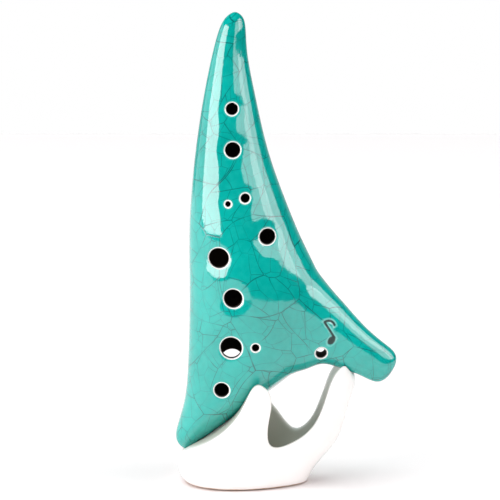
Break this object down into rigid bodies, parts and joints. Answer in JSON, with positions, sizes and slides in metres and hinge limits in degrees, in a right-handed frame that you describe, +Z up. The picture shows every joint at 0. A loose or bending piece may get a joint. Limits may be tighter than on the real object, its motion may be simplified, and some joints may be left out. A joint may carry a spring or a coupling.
{
  "type": "ocarina",
  "caption": "Transverse ceramic ocarina with finger and thumb holes and a side mouthpiece, standing tail-up in a hollow porcelain cradle it lifts out of.",
  "frame": {"origin": "on the table, under the middle of the pair's box", "axes": "+Z up along the ocarina's tail, +X towards the mouthpiece, -Y is the front with the finger holes"},
  "size_m": [0.0893, 0.044, 0.1898],
  "materials": {
    "turquoise_glaze": "gloss",
    "white_porcelain": "gloss"
  },
  "bodies": {
    "stand": {"stand": "white_porcelain"},
    "ocarina": {"front_shell": "turquoise_glaze", "back_shell": "turquoise_glaze", "mouthpiece": "turquoise_glaze", "windway_cover": "turquoise_glaze"}
  },
  "joints": [
    {"name": "ocarina_lift", "type": "slide", "parent": "stand", "child": "ocarina", "axis": [0, 0, 1], "range_m": [0, 0.06]}
  ]
}
